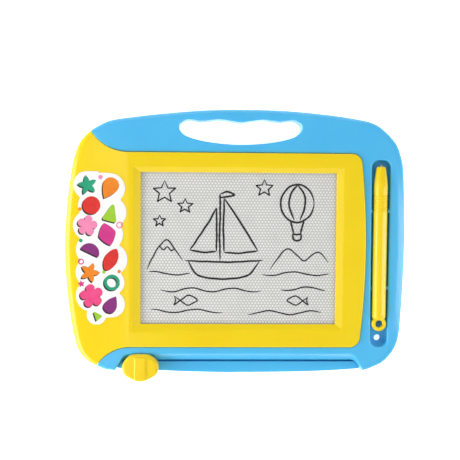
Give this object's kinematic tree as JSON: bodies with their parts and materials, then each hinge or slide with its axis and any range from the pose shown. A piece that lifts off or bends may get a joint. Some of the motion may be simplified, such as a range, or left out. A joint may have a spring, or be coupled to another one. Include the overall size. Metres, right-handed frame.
{
  "type": "magnetic drawing board",
  "caption": "Magnetic drawing board: framed cell screen in a two-shell case with a grip slot, a sliding eraser knob, and a magnet pen lying in a tray.",
  "frame": {"origin": "middle of the footprint, eraser knob included, on the surface that the back rests on", "axes": "+X along the width towards the pen tray, +Y up the drawing towards the grip slot, +Z out of the screen"},
  "size_m": [0.2602, 0.2076, 0.0209],
  "materials": {
    "blue_abs": "moulded, satin gloss",
    "yellow_abs": "moulded, satin gloss",
    "clear_film": "clear film",
    "cell_sheet": "pale honeycomb cells filled with white liquid",
    "printed_vinyl": "printed sticker",
    "zinc_steel": "zinc plated",
    "white_abs": "moulded, plain",
    "bright_steel": "turned, bright",
    "ferrite": "dark ferrite",
    "magnet_rubber": "flexible magnet strip, matt"
  },
  "bodies": {
    "case": {"front_housing": "blue_abs", "rear_cover": "blue_abs", "front_frame": "yellow_abs", "screen_front_film": "clear_film", "screen_honeycomb_core": "cell_sheet", "screen_rear_film": "clear_film", "sticker": "printed_vinyl", "case_screw_1": "zinc_steel", "case_screw_2": "zinc_steel", "case_screw_3": "zinc_steel", "case_screw_4": "zinc_steel", "case_screw_5": "zinc_steel", "case_screw_6": "zinc_steel", "case_screw_7": "zinc_steel", "case_screw_8": "zinc_steel"},
    "eraser": {"eraser_knob": "yellow_abs", "eraser_carriage": "white_abs", "eraser_magnet_strip": "magnet_rubber"},
    "pen": {"pen_barrel": "yellow_abs", "pen_nib": "bright_steel", "pen_magnet": "ferrite"}
  },
  "joints": [
    {"name": "eraser_slide", "type": "slide", "parent": "case", "child": "eraser", "axis": [1, 0, 0], "range_m": [0, 0.1487]},
    {"name": "pen_lift", "type": "slide", "parent": "case", "child": "pen", "axis": [0, 0, 1], "range_m": [0, 0.04]}
  ]
}
